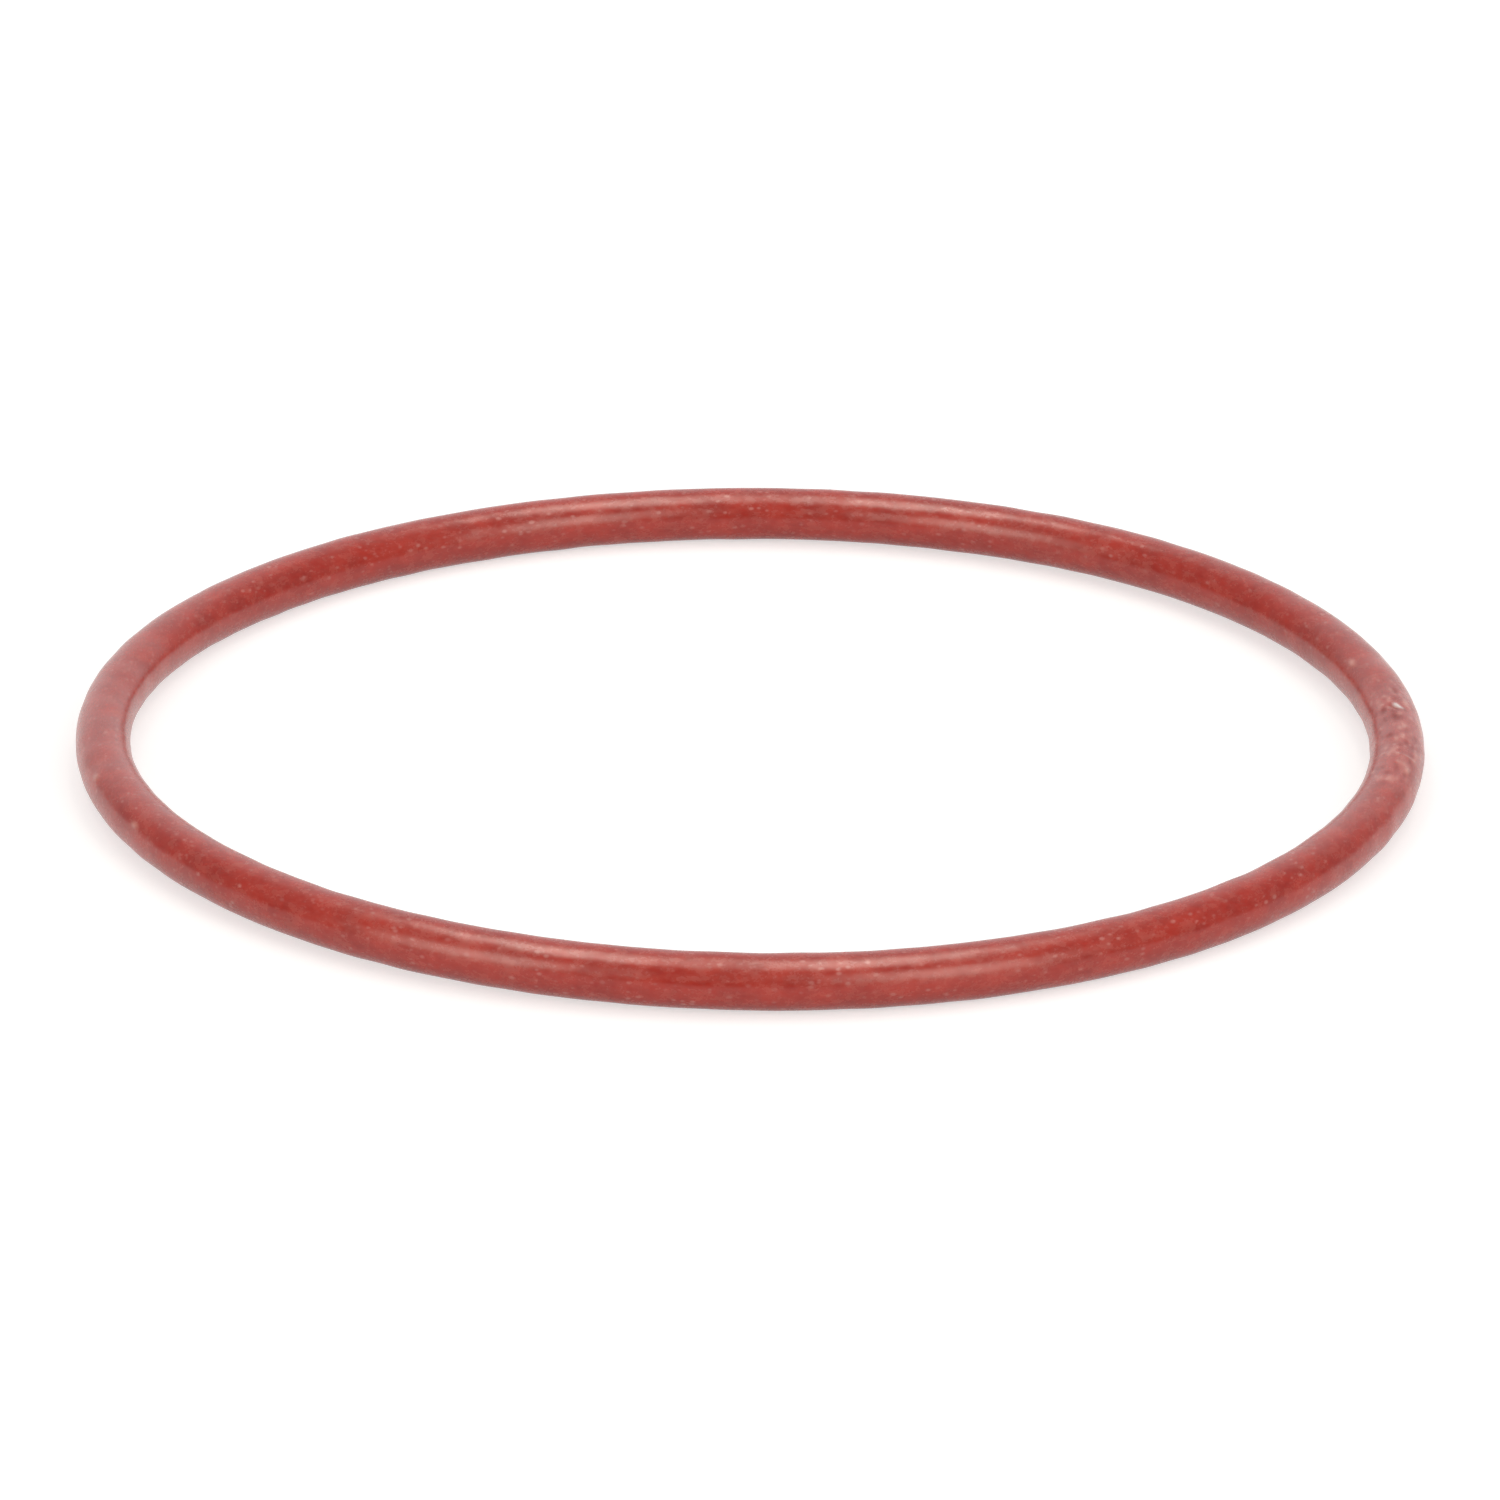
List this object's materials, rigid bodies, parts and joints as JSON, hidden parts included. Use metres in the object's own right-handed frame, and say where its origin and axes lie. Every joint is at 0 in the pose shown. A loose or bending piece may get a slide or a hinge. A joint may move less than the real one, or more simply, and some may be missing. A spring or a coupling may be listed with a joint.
{
  "type": "silicone o-ring",
  "caption": "Red silicone O-ring of round cord, a plain closed ring that seals between a shaft, a bore or two faces.",
  "frame": {"origin": "centre of the ring, on its axis and at half the height of the cord", "axes": "+Z along the ring's axis, up as it lies on a table; X and Y are any two directions across it, since the ring is round"},
  "size_m": [0.074, 0.074, 0.003],
  "materials": {
    "red_silicone": "satin moulded silicone rubber, iron-oxide red, with pale dust specks"
  },
  "bodies": {
    "root": {"o_ring": "red_silicone"}
  },
  "joints": []
}
